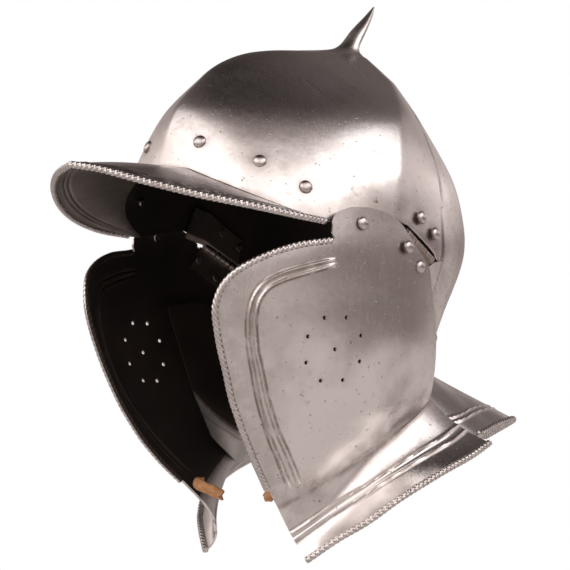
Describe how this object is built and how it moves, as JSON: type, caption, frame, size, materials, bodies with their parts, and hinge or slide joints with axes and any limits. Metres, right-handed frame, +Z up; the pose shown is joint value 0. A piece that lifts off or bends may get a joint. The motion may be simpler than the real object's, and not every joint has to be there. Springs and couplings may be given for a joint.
{
  "type": "burgonet",
  "caption": "Burgonet of polished steel: ridged and spiked skull, roped peak over the brow, flared neck plate and two pierced, hinged cheek pieces with flared flanges and leather strap stubs.",
  "frame": {"origin": "on the inside of the crown, where the top of the head sits, in the plane of symmetry below the spike's front", "axes": "+X to the wearer's left, -Y the way the face looks, +Z up towards the spike"},
  "size_m": [0.2091, 0.3878, 0.3785],
  "materials": {
    "polished_steel": "polished, worn",
    "rivet_steel": "polished, darkened round the heads",
    "hinge_steel": "filed",
    "leather": "dry, cracked"
  },
  "bodies": {
    "helmet": {"skull": "polished_steel", "nape_plate": "polished_steel", "left_hinge_leaf": "hinge_steel", "left_hinge_pin": "hinge_steel", "left_brow_rivet_1": "rivet_steel", "left_brow_rivet_2": "rivet_steel", "left_brow_rivet_3": "rivet_steel", "left_hinge_rivet_1": "rivet_steel", "left_hinge_rivet_2": "rivet_steel", "left_nape_rivet_1": "rivet_steel", "left_nape_rivet_2": "rivet_steel", "right_hinge_leaf": "hinge_steel", "right_hinge_pin": "hinge_steel", "right_brow_rivet_1": "rivet_steel", "right_brow_rivet_2": "rivet_steel", "right_brow_rivet_3": "rivet_steel", "right_hinge_rivet_1": "rivet_steel", "right_hinge_rivet_2": "rivet_steel", "right_nape_rivet_1": "rivet_steel", "right_nape_rivet_2": "rivet_steel"},
    "left_cheek_piece": {"left_cheek": "polished_steel", "left_cheek_leaf": "hinge_steel", "left_strap": "leather", "left_cheek_rivet_1": "rivet_steel", "left_cheek_rivet_2": "rivet_steel", "left_lobe_rivet": "rivet_steel"},
    "right_cheek_piece": {"right_cheek": "polished_steel", "right_cheek_leaf": "hinge_steel", "right_strap": "leather", "right_cheek_rivet_1": "rivet_steel", "right_cheek_rivet_2": "rivet_steel", "right_lobe_rivet": "rivet_steel"}
  },
  "joints": [
    {"name": "left_cheek_hinge", "type": "hinge", "parent": "helmet", "child": "left_cheek_piece", "pos_m": [0.09706, 0.01496, -0.12393], "axis": [0.1289, -0.8254, 0.5496], "range_deg": [-4, 75]},
    {"name": "right_cheek_hinge", "type": "hinge", "parent": "helmet", "child": "right_cheek_piece", "pos_m": [-0.09706, 0.01496, -0.12393], "axis": [0.1289, 0.8254, -0.5496], "range_deg": [0, 79]}
  ]
}
